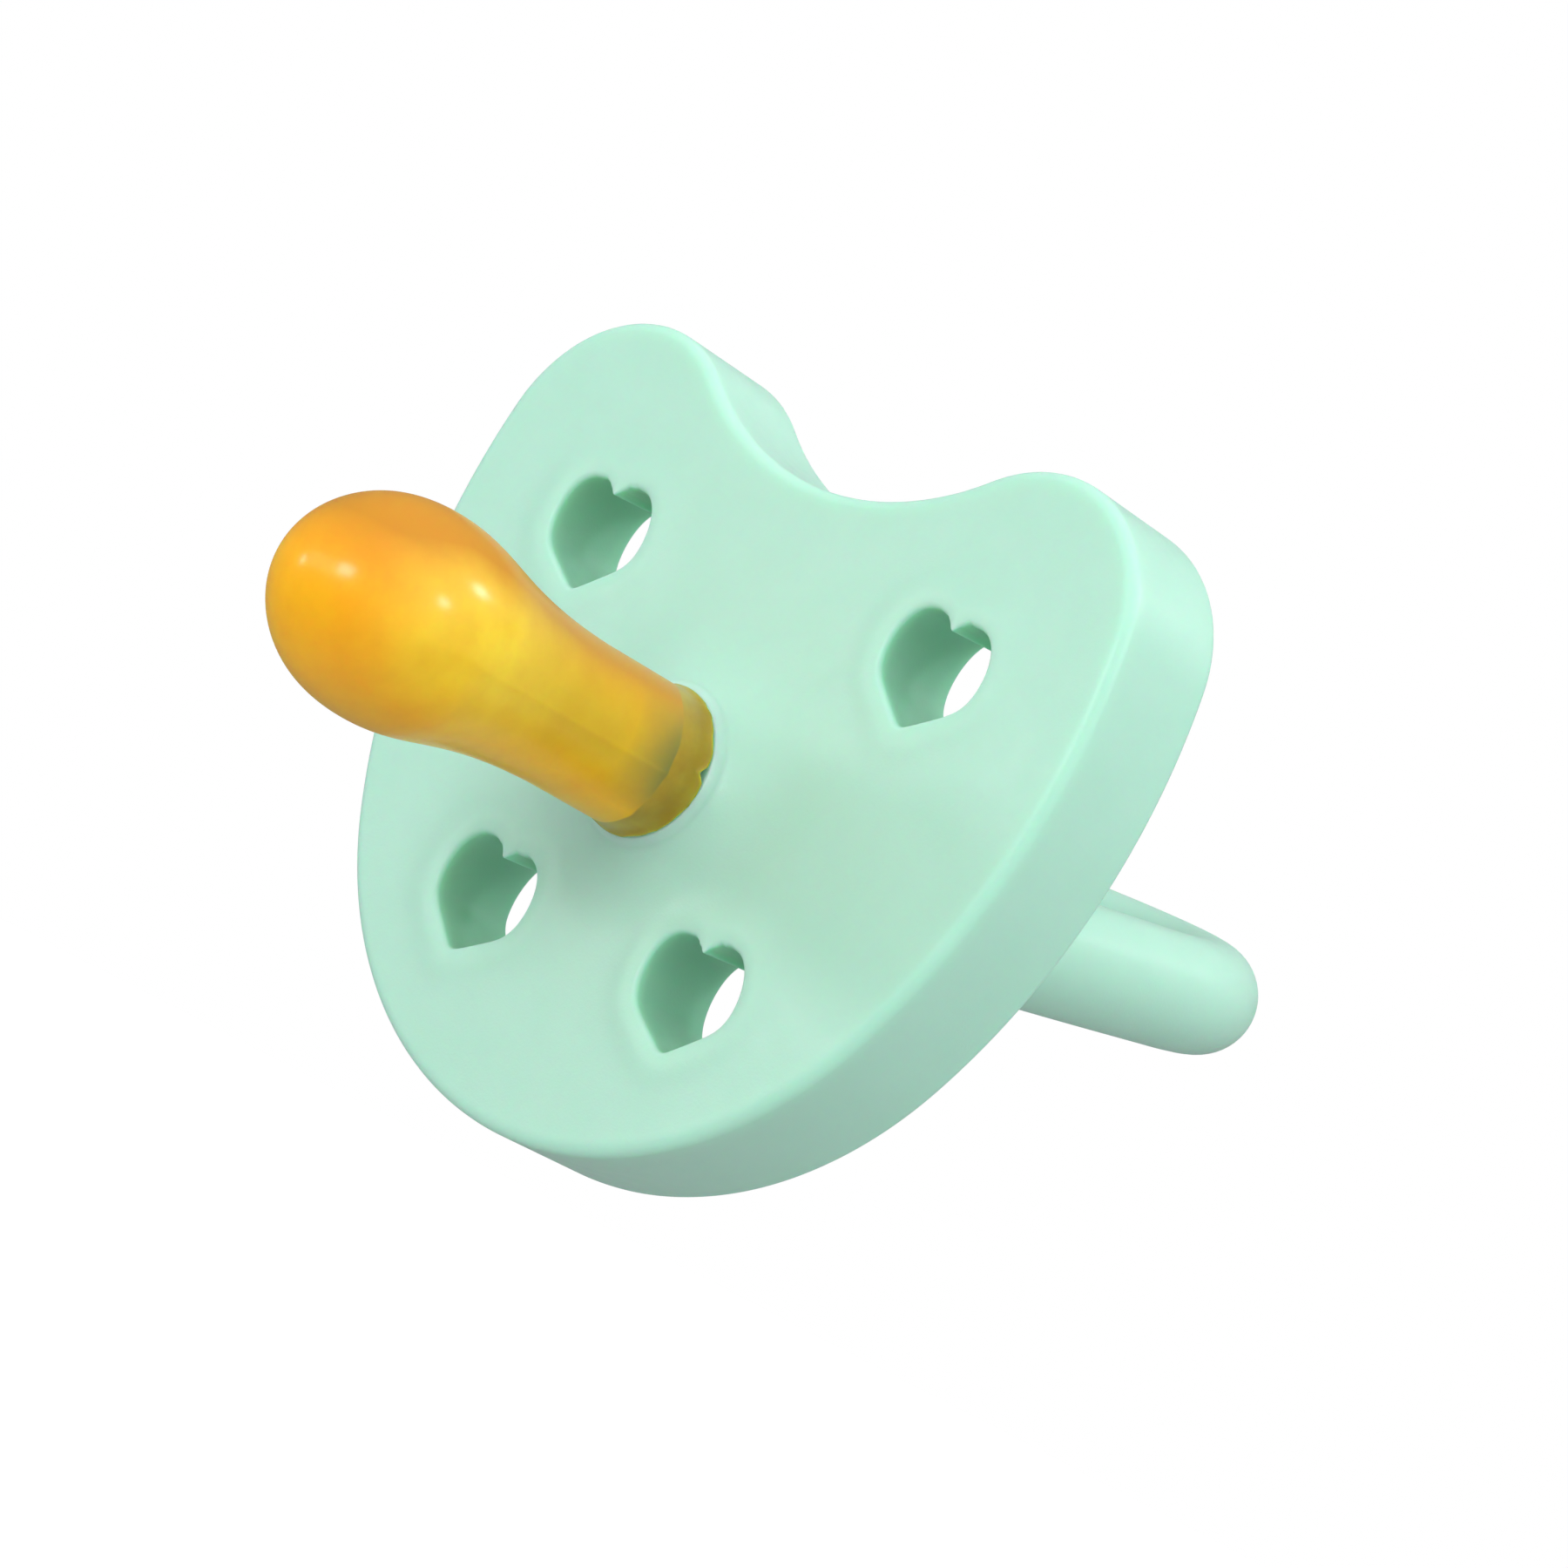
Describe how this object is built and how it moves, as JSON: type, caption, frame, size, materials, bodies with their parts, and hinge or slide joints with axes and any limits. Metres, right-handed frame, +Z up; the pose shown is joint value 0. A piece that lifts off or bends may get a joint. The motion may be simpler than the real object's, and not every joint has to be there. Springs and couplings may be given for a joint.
{
  "type": "pacifier",
  "caption": "Soft-rubber pacifier: butterfly shield with heart-shaped vents, a hollow bulb teat on a bonded neck, and a loop handle that folds on its feet.",
  "frame": {"origin": "on the teat's axis, in the flat floor of the shield's hollowed back, midway between the handle's feet in X", "axes": "-Y along the teat towards the baby, +Y towards the handle, +Z up to the nose notch, +X to the wearer's left seen from the teat side"},
  "size_m": [0.05, 0.0748, 0.0437],
  "materials": {
    "mint_rubber": "soft satin natural rubber, mint green",
    "stub_rubber": "soft satin natural rubber, mint green",
    "root_latex": "translucent amber latex over green rubber, reads olive brown",
    "amber_latex": "glossy translucent amber latex"
  },
  "bodies": {
    "shield": {"shield": "mint_rubber", "neck_stub": "stub_rubber", "neck_collar": "root_latex"},
    "teat": {"teat": "amber_latex"},
    "handle": {"handle_loop": "mint_rubber"}
  },
  "joints": [
    {"name": "teat_bend", "type": "hinge", "parent": "shield", "child": "teat", "pos_m": [0, -0.0097, 0], "axis": [1, 0, 0], "range_deg": [-25, 25], "stiffness_Nm_per_rad": 0.05},
    {"name": "handle_fold", "type": "hinge", "parent": "shield", "child": "handle", "pos_m": [0, 0.0011, -0.00115], "axis": [1, 0, 0], "range_deg": [-45, 28], "stiffness_Nm_per_rad": 0.12}
  ]
}
